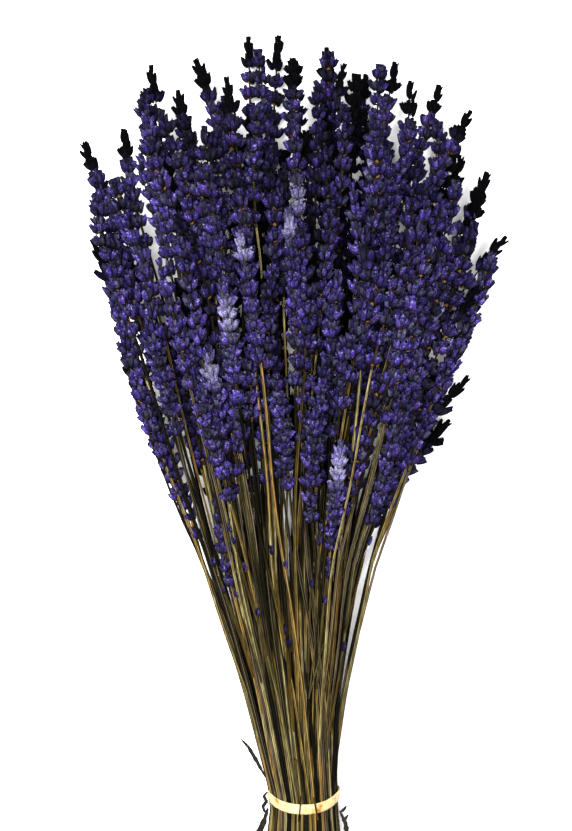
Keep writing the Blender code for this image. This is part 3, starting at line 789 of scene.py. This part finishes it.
def model_spike(name, draw, whorls, tops, rows):
    """A straight spike: whorls up a thin rachis, the lowest apart from the rest, and the top two small and close."""
    gaps = [draw.choice(LOWEST_GAPS), *(draw.uniform(*USUAL_GAPS) for _ in range(rows - 4)), *TOP_GAPS]
    feet = np.concatenate(([0], np.cumsum(gaps)))
    feet *= (SPIKE_MODEL_LENGTH - TOP_WHORL) / feet[-1]
    pieces = []
    for row, foot in enumerate(feet):
        wide = float(np.interp(row / (len(feet) - 1), *WHORL_TAPER)) * draw.uniform(*THICKNESS)
        matrix = (
            placed(draw.uniform(-0.3, 0.3) * MM, draw.uniform(-0.3, 0.3) * MM, foot)
            @ turned(draw.uniform(0, 360), "Z") @ Matrix.Diagonal((wide, wide, 0.50 + 0.55 * wide, 1))
        )
        pieces.append(copy_of(draw.choice(tops if row > len(feet) - 3 else whorls), matrix))
    rachis = extruded("rachis", 5, ((0.75, -2), (0.75, 0), (0.55, 30), (0.4, 60), (0, 62)))
    rachis.data.materials.append(STEM)
    mark(rachis.data, "tint", 0.3)
    pieces.append(rachis)
    spike = joined(name, pieces)
    mark(spike.data, "height", np.clip(places_of(spike.data)[:, 2] / SPIKE_MODEL_LENGTH, 0, 1))
    return spike


def highlighted_spikes(bunch, count):
    """Which of the first spikes gets the painted highlight at each place: the one that passes nearest, as seen from
    above.
    """
    chosen = []
    for across, along, _ in HIGHLIGHT_PLACES:
        x, z = bunch.courses(np.array([along * MM]))
        away = np.abs(x[:, 0] - across * MM) - HEIGHT_COUNTS * z[:, 0]
        flowering = (bunch.base_y < (along - 4) * MM) & (bunch.tip_y > (along + 4) * MM)
        away[~flowering] = 1
        chosen.append(int(np.argmin(away[:count])))
    return chosen


def grow_spike(bunch, stalk, draw, models, top_dark, shade, highlighted=()):
    """A copy of a model spike, turned at random, and bent along its stalk. Its buds are painted pale round the
    places, as highlights, and darkened with painted shade.
    """
    made = copy_of(draw.choice(models), turned(draw.uniform(0, 360), "Z"))
    lead = SPIKE_LEAD
    course = bunch.course(stalk, bunch.base_y[stalk] - lead, bunch.tip_y[stalk])
    length = course[1][-1]
    offsets = places_of(made.data)
    offsets[:, :2] *= bunch.radius[stalk] / SPIKE_RADIUS
    offsets[:, 2] = np.clip(lead + offsets[:, 2] * (length - lead) / SPIKE_MODEL_LENGTH, 0, length)
    points = along_course(course, offsets)
    points[:, 2] = np.maximum(points[:, 2], 0.1 * MM)
    move_to(made.data, points)
    height = marks_of(made.data, "height")
    top = np.clip((height - DARK_TOP_FROM) / DARK_TOP_OVER, 0, 1)
    middle = bunch.tip_y[stalk] - bunch.length[stalk] / 2
    under_others = np.clip((FURTHEST_TIP - middle) / SHADE_LENGTH, LEAST_SHADE, 1)
    inside = DEPTH_SHADE * under_others * bunch.depth(np.array([middle]))[stalk, 0]
    # painted shade: darker at random per spike, in the middle of the bunch and at the tops, nearly black at tips
    # against the light
    mark(made.data, "dark", np.clip(shade + inside + top * top_dark, 0, 1))
    # painted highlights: the buds are pale round the listed places
    pale = np.zeros(len(points))
    for _, along, length_over in highlighted:
        pale = np.maximum(pale, HIGHLIGHT_MOST * np.exp(-(((points[:, 1] / MM - along) / length_over) ** 2)))
    mark(made.data, "pale", pale)
    return made


def under_rest(bunch, stalk):
    """How much painted shade darkens an inner spike for lying low in the head, with the others on top of it."""
    low = (level_height(bunch.tip_x[stalk], bunch.tip_y[stalk], MIDDLE_LEVEL) - bunch.tip_z[stalk]) / UNDERSIDE
    return float(np.clip(low + LOW_SHADE, 0, MOST_LOW_SHADE))


def dress_spikes(bunch, part_stalks):
    """Spikes of whorls in place of the part's, and more between them."""
    draw = random.Random(3)
    calyces = [model_calyx(f"calyx_{number}", profile, draw) for number, profile in enumerate(CALYX_PROFILES)]
    bract = model_bract()
    full = [model_whorl(f"whorl_{number}", draw, calyces, bract, 7 + number % 2, 4) for number in range(6)]
    tops = [model_whorl(f"top_whorl_{number}", draw, [calyces[2]], bract, 4, 2, (6, 30), 0.7) for number in range(3)]
    plain = model_calyx("plain_calyx", PLAIN_PROFILE, draw)
    thin = [model_whorl(f"inner_whorl_{number}", draw, [plain], bract, 6, 2) for number in range(4)]
    full_spikes = [
        model_spike(f"spike_model_{number}", draw, full, tops, (8, 9, 9, 10)[number % 4]) for number in range(8)
    ]
    thin_spikes = [model_spike(f"inner_model_{number}", draw, thin, thin, (8, 9)[number % 2]) for number in range(6)]
    grown = {}
    pale_on = highlighted_spikes(bunch, part_stalks)
    for stalk in range(part_stalks):
        sprig = bunch.sprig[stalk]
        single = sprig < len(SINGLE_TIPS)
        name = f"spike_{sprig + 1:02d}" if single else f"twin_spikes_{sprig + 1 - len(SINGLE_TIPS):02d}"
        at_edge = single and sprig < EDGE_SPIKES
        # painted shade: tips at the fan's edge, seen against the light, are nearly black; some tops inside the head
        # are only darker
        top_dark = EDGE_TIP_SHADE if at_edge else draw.choice((0, 0, INNER_TOP_DARK))
        shade = draw.uniform(0, 0.35) if at_edge else draw.choice((0, 0, 0.15, 0.3))
        highlighted = [place for place, spike in zip(HIGHLIGHT_PLACES, pale_on) if spike == stalk]
        grown.setdefault(name, []).append(grow_spike(bunch, stalk, draw, full_spikes, top_dark, shade, highlighted))
    for name, pieces in grown.items():
        piece = joined("whorls_" + name, pieces)
        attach(piece, "root")
        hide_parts(name)
    for number, first in enumerate(range(part_stalks, bunch.count, SPIKES_A_PIECE), 1):
        pieces = []
        for stalk in range(first, min(first + SPIKES_A_PIECE, bunch.count)):
            shade = draw.choice((0, 0.15, 0.3)) + under_rest(bunch, stalk)
            pieces.append(grow_spike(bunch, stalk, draw, thin_spikes, INNER_TOP_DARK, shade))
        piece = joined(f"inner_spikes_{number}", pieces)
        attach(piece, "root")
    grow_lone_whorls(bunch, draw, tops)
    for template in (*calyces, plain, bract, *full, *tops, *thin, *full_spikes, *thin_spikes):
        bpy.data.objects.remove(template)


# Single whorls on thin stalks that end among the stems: across and along in millimetres, and how many whorls
LONE_WHORLS = (
    (-47.8, 130.5, 1), (-42.6, 116.5, 1), (-35.9, 114.4, 1), (-25, 105.6, 1), (-10.4, 96.2, 1), (-8.8, 88.4, 1),
    (20.8, 84.8, 1), (-17.2, 138.3, 1), (-10.4, 131, 1), (-39, 148.7, 2), (34, 140, 1), (8, 150, 2), (12, 131, 2),
    (10.2, 111, 1), (-31, 130, 1), (3, 120, 1),
)
LONE_STALK = ((0.6, 0), (0.6, 15), (0.5, 30), (0, 40))  # radius and height in millimetres
LONE_REACH = 46  # how far back the stalk is followed, in millimetres
LONE_SCALE = (0.40, 0.58)


def over_stems(bunch, places, gap):
    """A course through these places, seen from above, that lies this far over the uppermost stalks."""
    along = np.array([place[1] for place in places]) * MM
    across = np.array([place[0] for place in places]) * MM
    fine = np.linspace(along[0], along[-1], 24)
    x = np.interp(fine, along, across)
    heights = [bunch.top(*place) for place in zip(x, fine)]
    known = [number for number, height in enumerate(heights) if height is not None]
    z = np.interp(np.arange(len(heights)), known, [heights[number] for number in known])
    z = np.convolve(np.pad(z, 2, mode="edge"), np.ones(5) / 5, mode="valid") + gap
    return measured(np.column_stack((x, fine, z)))


def grow_lone_whorls(bunch, draw, whorls):
    """Small whorls, longer than they are wide, on stalks that lie on the uppermost ones."""
    pieces = []
    for across, along, count in LONE_WHORLS:
        start = across * 0.62, along - LONE_REACH
        course = over_stems(bunch, (start, (across, along + 4)), -0.2 * MM)
        length = course[1][-1]
        stalk = extruded("thin stalk", 5, LONE_STALK)
        stalk.data.materials.append(STEM)
        mark(stalk.data, "tint", draw.uniform(0.3, 0.7))
        offsets = places_of(stalk.data)
        offsets[:, 2] *= (length - 4 * MM) / (LONE_STALK[-1][1] * MM)
        move_to(stalk.data, along_course(course, offsets))
        pieces.append(stalk)
        for step in range(count):
            size = draw.uniform(*LONE_SCALE)
            whorl = copy_of(draw.choice(whorls), Matrix.Diagonal((size, size, 1.5 * size, 1)))
            offsets = places_of(whorl.data)
            offsets[:, 2] += length - (5 + 7 * step) * MM
            offsets[:, 2] = np.clip(offsets[:, 2], 0, length)
            move_to(whorl.data, along_course(course, offsets))
            mark(whorl.data, "dark", draw.choice((0.2, 0.5)))
            pieces.append(whorl)
    piece = joined("lone_whorls", pieces)
    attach(piece, "root")


# Stems

STEM_POINTS = 24
STEM_THICKNESS = (0.74, 1.04)
STEM_TAPER = 0.25
GROOVE = 0.64  # how far out the middle of a side is, against a corner
RIND = 0.18 * MM  # round the pith
KNOT_CHANCE = 0.09
KNOT_SWELLING = 1.28
INSIDE_SHADE = 4.0  # how much darker the stems inside the bundle are than those on its outside
LIT_DEPTH = 0.13  # how far into the bundle they are not darker at all
DARKEST_STEM = 0.97


def stem_section():
    """A square section with a groove along each side."""
    curve = bpy.data.curves.new("stem section", "CURVE")
    curve.dimensions = "2D"
    outline = curve.splines.new("POLY")
    outline.points.add(7)
    for corner, point in enumerate(outline.points):
        radius = STEM_RADIUS * (GROOVE if corner % 2 else 1.0)
        angle = math.tau * corner / 8
        point.co = (radius * math.cos(angle), radius * math.sin(angle), 0, 1)
    outline.use_cyclic_u = True
    section = bpy.data.objects.new("stem section", curve)
    bpy.context.scene.collection.objects.link(section)
    return section


def grow_stems(bunch):
    """Every stem from its cut butt up into its spike, grooved along its sides, with a few knots."""
    draw = random.Random(5)
    section = stem_section()
    curve = bpy.data.curves.new("stalks", "CURVE")
    curve.dimensions = "3D"
    curve.bevel_mode = "OBJECT"
    curve.bevel_object = section
    curve.use_fill_caps = True
    stations = np.linspace(BENDS[0] * (1 + BUTT_UNEVENNESS), FURTHEST_TIP, 80)
    depth = bunch.depth(stations)
    tints = []
    for stalk in range(bunch.count):
        butt = BENDS[0] * (1 - BUTT_UNEVENNESS * math.sin(9 * stalk))
        points, _ = bunch.course(stalk, butt, bunch.base_y[stalk] + 2 * MM, STEM_POINTS)
        spline = curve.splines.new("POLY")
        spline.points.add(STEM_POINTS - 1)
        thick, tilt = draw.uniform(*STEM_THICKNESS), draw.uniform(0, math.pi)
        for number, point in enumerate(spline.points):
            knot = KNOT_SWELLING if draw.random() < KNOT_CHANCE else 1
            point.co = (*points[number], 1)
            point.radius = thick * knot * (1 - STEM_TAPER * number / STEM_POINTS)
            point.tilt = tilt
        tints.append(draw.uniform(0, 1))
    stems = bpy.data.objects.new("stalks", curve)
    bpy.context.scene.collection.objects.link(stems)
    activate(stems)
    bpy.ops.object.convert(target="MESH")
    bpy.data.objects.remove(section)
    points = places_of(stems.data)
    each = len(points) // bunch.count
    mark(stems.data, "tint", np.repeat(tints, each))
    shades = [np.interp(own, stations, inside) for own, inside in zip(points[:, 1].reshape(-1, each), depth)]
    mark(stems.data, "dark", np.clip(INSIDE_SHADE * (np.concatenate(shades) - LIT_DEPTH), 0, DARKEST_STEM))
    mark(stems.data, "corner", 1 - np.arange(len(points)) % 8 % 2)
    stems.data.materials.append(STEM)
    stems.data.materials.append(PITH)
    open_cut_ends(stems)
    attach(stems, "root")
    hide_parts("stems")


def open_cut_ends(stems):
    """Insets each cut butt, and gives the inner face the look of pith."""
    activate(stems)
    bpy.ops.object.mode_set(mode="EDIT")
    bpy.ops.mesh.select_mode(type="FACE")
    bpy.ops.mesh.select_all(action="DESELECT")
    bpy.ops.object.mode_set(mode="OBJECT")
    for face in stems.data.polygons:
        face.select = face.center.y < BENDS[0] * (1 - BUTT_UNEVENNESS) + 0.5 * MM and len(face.vertices) > 4
    bpy.ops.object.mode_set(mode="EDIT")
    bpy.ops.mesh.inset(thickness=RIND, use_individual=True)
    stems.active_material_index = 1
    bpy.ops.object.material_slot_assign()
    bpy.ops.object.mode_set(mode="OBJECT")


# Rubber band, leaves and scraps

SIDES_UP = (2.8 * MM, 3.8 * MM)  # how far up the stems the band has slipped at its left and right
MIDDLE_DOWN = 0.7 * MM


def model_turn(name, radius, wide, thick, shift):
    """One turn of the band: a torus flattened to a strip, with a wave in its edges, and flat on the table."""
    bpy.ops.object.select_all(action="DESELECT")
    bpy.ops.mesh.primitive_torus_add(
        major_segments=112, minor_segments=10, major_radius=radius, minor_radius=thick / 2,
        location=(0, 0, BUNDLE_MIDDLE), rotation=(math.pi / 2, 0, 0),
    )
    turn = bpy.context.object
    turn.name = name
    bpy.ops.object.transform_apply(location=True, rotation=True)
    bpy.ops.object.mode_set(mode="EDIT")
    bpy.ops.mesh.select_all(action="SELECT")
    bpy.ops.transform.resize(value=(1, wide / thick, 1), center_override=(0, 0, 0))
    bpy.ops.object.mode_set(mode="OBJECT")
    points = places_of(turn.data)
    angle = np.arctan2(points[:, 2] - BUNDLE_MIDDLE, points[:, 0])
    out = np.hypot(points[:, 0], points[:, 2] - BUNDLE_MIDDLE)
    out = out + 0.10 * MM * np.sin(23 * angle) + 0.06 * MM * np.sin(41 * angle + 1)
    points[:, 0] = out * np.cos(angle)
    points[:, 2] = np.maximum(BUNDLE_MIDDLE + out * np.sin(angle), 0.05 * MM)
    slipped = np.where(points[:, 0] < 0, *SIDES_UP) * np.cos(angle) ** 2
    points[:, 1] += shift(angle) + 0.12 * MM * np.sin(5 * angle) + slipped - MIDDLE_DOWN
    move_to(turn.data, points)
    turn.data.materials.append(RUBBER)
    turn.data.shade_smooth()
    return turn


def dress_band():
    """The band's upper turn, and a second under it that shows below it on the left."""
    left = math.radians(140)

    def under(angle):
        return -1.25 * MM * np.exp(-(((angle - left) / 0.55) ** 2))

    upper = model_turn("upper turn", 18.95 * MM, 5.6 * MM, 0.85 * MM, lambda angle: 0)
    lower = model_turn("lower turn", 18.65 * MM, 2.4 * MM, 0.75 * MM, under)
    band = joined("rubber_band", [upper, lower])
    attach(band, "root")
    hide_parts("band")


LEAVES = (  # points along a blade's middle in millimetres, and its half width, as in the part
    (((-19.2, -5, 21), (-21.3, -12, 21), (-24, -19, 19), (-26, -27, 16), (-25, -36, 13)), 1.9),
    (((-20.5, 12, 22), (-25.5, 22, 24), (-29.5, 29, 24), (-34, 33, 21)), 1.1),
    (((18.9, -6, 22), (22, -12, 24), (23, -19, 25), (26, -26, 23)), 1.3),
)


def model_blade(name, places, half_width, curl):
    """A dead leaf: a strip cut to a point at both ends, folded along its middle and wrinkled."""
    bpy.ops.object.select_all(action="DESELECT")
    bpy.ops.mesh.primitive_grid_add(x_subdivisions=4, y_subdivisions=24, size=1)
    blade = bpy.context.object
    blade.name = name
    path = np.array(places, float) * MM
    grid = places_of(blade.data)
    share = grid[:, 1] + 0.5
    course = measured(path)
    fine = np.linspace(0, course[1][-1], 40)
    smooth = np.column_stack([np.interp(fine, course[1], path[:, axis]) for axis in range(3)])
    course = measured(smooth)
    swell = np.clip(np.sin(math.pi * np.clip(share * 0.94 + 0.03, 0, 1)), 0.1, 1) ** 0.7
    wrinkle = 0.12 * np.sin(31 * share) + 0.08 * np.sin(57 * share + 1)
    across = 2 * grid[:, 0] * half_width * MM * swell * (1 + wrinkle)
    up = curl * half_width * MM * (np.abs(2 * grid[:, 0]) ** 1.5) * swell * (0.6 + wrinkle * 2)
    offsets = np.column_stack((across, up, share * course[1][-1]))
    move_to(blade.data, along_course(course, offsets))
    thick = blade.modifiers.new("Blade", "SOLIDIFY")
    thick.thickness = 0.3 * MM
    activate(blade)
    bpy.ops.object.modifier_apply(modifier="Blade")
    blade.data.materials.append(LEAF)
    blade.data.shade_smooth()
    return blade


def dress_leaves():
    """The part's three leaves, a little narrower and nearly flat."""
    for number, (places, half_width) in enumerate(LEAVES, 1):
        blade = model_blade(f"dead_leaf_{number}", places, half_width * 0.95, 0.25)
        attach(blade, "root")
        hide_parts(f"leaf_{number}")


def model_twig(name, course, radii, tint):
    """A bare twig along a course, with rings of these radii in millimetres, spaced evenly."""
    twig = extruded(name, 6, [(radius, 10 * ring) for ring, radius in enumerate(radii)])
    twig.data.materials.append(STEM)
    mark(twig.data, "tint", tint)
    offsets = places_of(twig.data)
    offsets[:, 2] *= course[1][-1] / (10 * MM * (len(radii) - 1))
    move_to(twig.data, along_course(course, offsets))
    return twig


def through(places):
    """A rounded course through places in millimetres."""
    path = measured(np.array(places, float) * MM)
    fine = np.linspace(0, path[1][-1], 60)
    points = np.column_stack([np.interp(fine, path[1], path[0][:, axis]) for axis in range(3)])
    for axis in range(3):
        padded = np.pad(points[:, axis], 4, mode="reflect", reflect_type="odd")
        points[:, axis] = np.convolve(padded, np.ones(9) / 9, mode="valid")
    return measured(points)


def add_scraps(bunch):
    """What else dries in a bunch: a long bare stem outside the fan, a broken twig, cut stubs and bits of leaf."""
    bare = through((
        (-15.5, -3, 20), (-18.6, 14, 20), (-28, 61, 22), (-35.4, 85, 25), (-56.7, 138, 32), (-63, 149, 33),
        (-84, 207, 38), (-91.5, 237, 41),
    ))

    def laid_on_stems(places, gap):
        return through([(x, y, 1000 * bunch.top(x * MM, y * MM) + gap) for x, y in places])

    broken = laid_on_stems(((5.4, 90), (3.6, 74), (2.2, 60)), 0.9)
    snapped = laid_on_stems(((2.2, 60), (6, 76), (9.8, 90)), 0.7)
    stub = laid_on_stems(((-4.6, 27), (-4.5, 20), (-4.1, 12)), 0.6)
    over_band = through(((-2.0, 7, 39.2), (-2.2, 0, 39.3), (-3.1, -7, 38.4)))
    pale_stub = through(((5.0, 6, 38.6), (6.0, 0, 38.6), (7.2, -6, 37.6)))
    pieces = [
        model_twig("bare stem", bare, [0.7] * 14 + [0.45], 0.02),
        model_twig("broken twig", broken, (0.3, 0.38, 0.38, 0.3), 0.72),
        model_twig("snapped end", snapped, (0.3, 0.35, 0.3, 0.2), 0.72),
        model_twig("stub", stub, (0.75, 0.75, 0.7, 0.6), 0.72),
        model_twig("brown twig", over_band, (0.3, 0.42, 0.4, 0.3), 0.15),
        model_twig("pale stub", pale_stub, (0.5, 0.55, 0.55, 0.5), 0.9),
    ]
    twigs = joined("loose_twigs", pieces)
    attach(twigs, "root")
    curls = (
        (((-19.4, 4, 21), (-21.4, 2, 22), (-20, -1, 22), (-22, -4, 21.5), (-20.6, -8, 21)), 0.9),
        (((22.6, -3.4, 22), (21.4, -5.2, 22), (19.4, -7.3, 21)), 0.7),
        (((23.6, -8.6, 21), (22.2, -10.6, 21), (20.2, -12.2, 20)), 0.7),
    )
    piece = joined("leaf_curls", [model_blade("curl", places, half_width, 0.6) for places, half_width in curls])
    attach(piece, "root")


# The table, the light and the camera

PICTURE_HEIGHT = 831  # in pixels
PIXEL = 0.5102 * MM  # what a pixel covers at the middle of the head
VIEW_DISTANCE = 0.95
VIEW_TILT = math.radians(5)
VIEW_CENTRE = (-9.6 * MM, 207.2 * MM, 45 * MM)
SKY_STRENGTH = 0.06
LIT_PLACE = (0, 0.2, 0.03)
LAMPS = (("key", (-0.38, 0.50, 1.35), 0.45, 54), ("fill", (0.08, 0.20, 1.45), 0.35, 38))  # place, size, power


def build_stage():
    bpy.ops.object.select_all(action="DESELECT")
    bpy.ops.mesh.primitive_plane_add(size=6)
    table = bpy.context.object
    table.name = "table"
    table.data.materials.append(TABLE)


def add_lamp(name, place, size, power):
    data = bpy.data.lights.new(name, "AREA")
    data.size = size
    data.energy = power
    lamp = bpy.data.objects.new(name, data)
    lamp.location = place
    lamp.rotation_euler = (Vector(LIT_PLACE) - Vector(place)).to_track_quat("-Z", "Y").to_euler()
    bpy.context.scene.collection.objects.link(lamp)


def light_table():
    world = bpy.data.worlds.new("studio")
    world.use_nodes = True
    background = world.node_tree.nodes["Background"]
    background.inputs["Color"].default_value = srgb("FFFFFF")
    background.inputs["Strength"].default_value = SKY_STRENGTH
    bpy.context.scene.world = world
    for lamp in LAMPS:
        add_lamp(*lamp)


def place_camera():
    data = bpy.data.cameras.new("camera")
    data.sensor_width = 36
    data.lens = data.sensor_width * VIEW_DISTANCE / (PICTURE_HEIGHT * PIXEL)
    camera = bpy.data.objects.new("camera", data)
    towards = Vector((0, math.sin(VIEW_TILT), math.cos(VIEW_TILT)))
    camera.location = Vector(VIEW_CENTRE) + VIEW_DISTANCE * towards
    camera.rotation_euler = (-VIEW_TILT, 0, 0)
    bpy.context.scene.collection.objects.link(camera)
    bpy.context.scene.camera = camera
    bpy.context.scene.view_settings.view_transform = "Standard"


def build():
    bunch = lay_out_bunch()
    part_stalks = bunch.count
    bunch.take_in(lay_out_inner_stalks())
    dress_spikes(bunch, part_stalks)
    grow_stems(bunch)
    dress_band()
    dress_leaves()
    add_scraps(bunch)
    build_stage()
    light_table()
    place_camera()


build()
